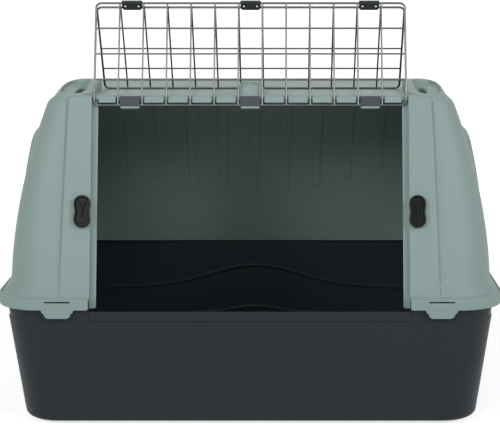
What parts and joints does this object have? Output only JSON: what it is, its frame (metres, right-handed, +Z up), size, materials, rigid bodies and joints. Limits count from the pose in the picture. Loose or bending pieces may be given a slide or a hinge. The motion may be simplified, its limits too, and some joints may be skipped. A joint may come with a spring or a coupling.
{
  "type": "pet_transport_carrier",
  "caption": "Large pet transport carrier with a dark base tray, a sage green upper shell, a wide doorway, a folding wire door laid open on the roof and turn latches on the front posts",
  "frame": {"origin": "under the centre of the rim, on the floor", "axes": "+X to the right as seen from the front, -Y to the front, +Z up"},
  "size_m": [1.012, 0.6, 0.8379],
  "materials": {
    "shell_plastic": "satin",
    "base_plastic": "matte",
    "door_wire": "satin",
    "black_plastic": "satin",
    "clip_grey": "satin",
    "rivet_metal": "satin",
    "washer_steel": "satin",
    "foot_rubber": "matte"
  },
  "bodies": {
    "carrier": {"base_tray": "base_plastic", "upper_shell": "shell_plastic", "foot_front_left": "foot_rubber", "foot_front_right": "foot_rubber", "foot_back_left": "foot_rubber", "foot_back_right": "foot_rubber", "hinge_clip_left": "clip_grey", "hinge_clip_centre": "clip_grey", "hinge_clip_right": "clip_grey"},
    "upper_door": {"door_upper_panel": "door_wire"},
    "lower_door": {"door_lower_panel": "door_wire", "fold_clip_front_left": "black_plastic", "fold_clip_front_centre": "black_plastic", "fold_clip_front_right": "black_plastic", "fold_clip_rear_left": "black_plastic", "fold_clip_rear_centre": "black_plastic", "fold_clip_rear_right": "black_plastic", "fold_rivet_left_1": "rivet_metal", "fold_rivet_left_2": "rivet_metal", "fold_rivet_centre_1": "rivet_metal", "fold_rivet_centre_2": "rivet_metal", "fold_rivet_right_1": "rivet_metal", "fold_rivet_right_2": "rivet_metal"},
    "left_latch": {"latch_left": "black_plastic", "latch_washer_left": "washer_steel"},
    "right_latch": {"latch_right": "black_plastic", "latch_washer_right": "washer_steel"}
  },
  "joints": [
    {"name": "door_hinge", "type": "hinge", "parent": "carrier", "child": "upper_door", "pos_m": [0, -0.16729, 0.63375], "axis": [1, 0, 0], "range_deg": [0, 184.3]},
    {"name": "door_fold", "type": "hinge", "parent": "upper_door", "child": "lower_door", "pos_m": [0, -0.09339, 0.83248], "axis": [1, 0, 0], "range_deg": [0, 129.87]},
    {"name": "latch_left_turn", "type": "hinge", "parent": "carrier", "child": "left_latch", "pos_m": [-0.332, -0.23538, 0.41407], "axis": [0, -0.9608, 0.2773], "range_deg": [-90, 0]},
    {"name": "latch_right_turn", "type": "hinge", "parent": "carrier", "child": "right_latch", "pos_m": [0.332, -0.23538, 0.41407], "axis": [0, -0.9608, 0.2773], "range_deg": [0, 90]}
  ]
}
